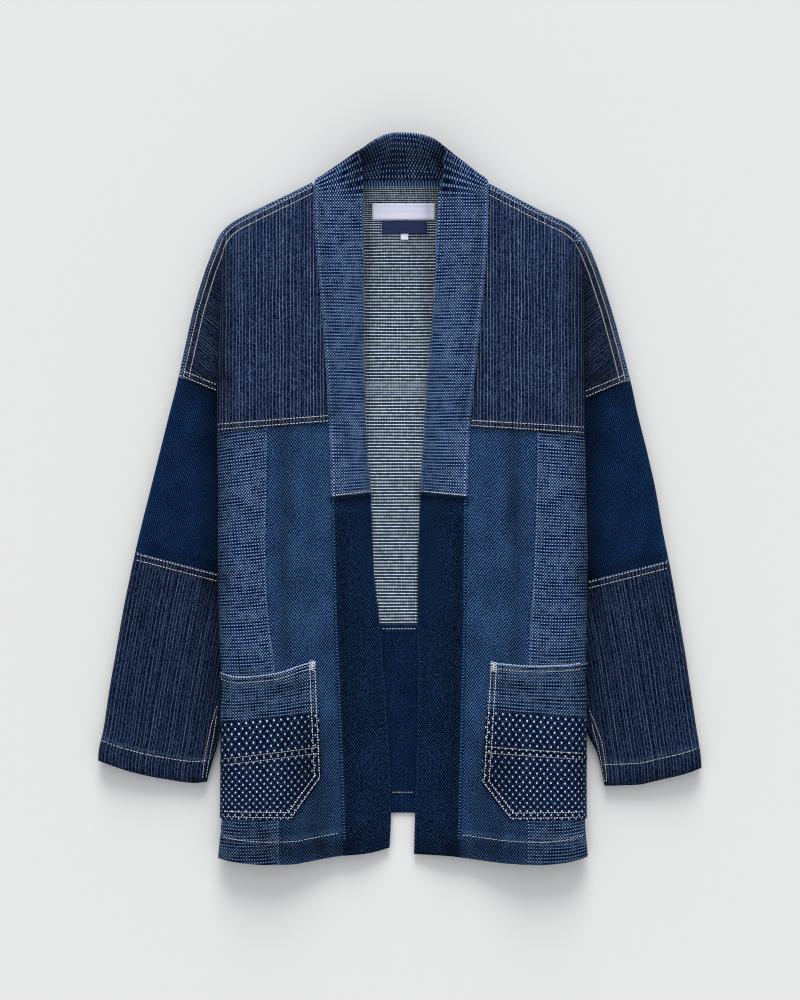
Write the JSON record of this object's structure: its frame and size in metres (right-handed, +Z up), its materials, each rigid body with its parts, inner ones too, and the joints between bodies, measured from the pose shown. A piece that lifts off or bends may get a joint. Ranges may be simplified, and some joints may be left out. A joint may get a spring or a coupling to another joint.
{
  "type": "haori",
  "caption": "Open-fronted haori jacket of patchwork denim with a wide band collar, drop shoulders and patch pockets, laid flat with its sleeves down its sides.",
  "frame": {"origin": "middle of the underside, on the surface that the jacket lies on", "axes": "+X to the right as the front is looked at, +Y from hem to neck, +Z up through the jacket from its back to its front"},
  "size_m": [0.6404, 0.778, 0.0419],
  "materials": {
    "dash_reverse": "matt sashiko weave, its white dashed reverse",
    "navy_plain": "matt plain weave",
    "pinstripe": "matt denim with pale pinstripes",
    "blue_twill": "matt washed twill",
    "dotted_sashiko": "matt sashiko weave with pale dots",
    "indigo_twill": "matt dark indigo twill",
    "light_sashiko": "matt sashiko weave",
    "dotted_navy": "matt navy cloth with rows of white dots",
    "white_label": "satin woven tape, bare",
    "navy_label": "satin woven tape, bare"
  },
  "bodies": {
    "root": {"back_upper": "dash_reverse", "back_lower": "navy_plain", "front_yoke_left": "pinstripe", "front_yoke_right": "pinstripe", "front_centre_left": "blue_twill", "front_centre_right": "blue_twill", "front_side_left": "dotted_sashiko", "front_side_right": "dotted_sashiko", "sleeve_upper_left": "indigo_twill", "sleeve_upper_right": "indigo_twill", "sleeve_lower_left": "pinstripe", "sleeve_lower_right": "pinstripe", "band_upper": "light_sashiko", "band_lower_left": "indigo_twill", "band_lower_right": "indigo_twill", "pocket_top_left": "light_sashiko", "pocket_top_right": "light_sashiko", "pocket_middle_left": "dotted_navy", "pocket_middle_right": "dotted_navy", "pocket_bottom_left": "dotted_navy", "pocket_bottom_right": "dotted_navy", "label_main": "white_label", "label_origin": "navy_label", "label_size": "white_label"}
  },
  "joints": []
}
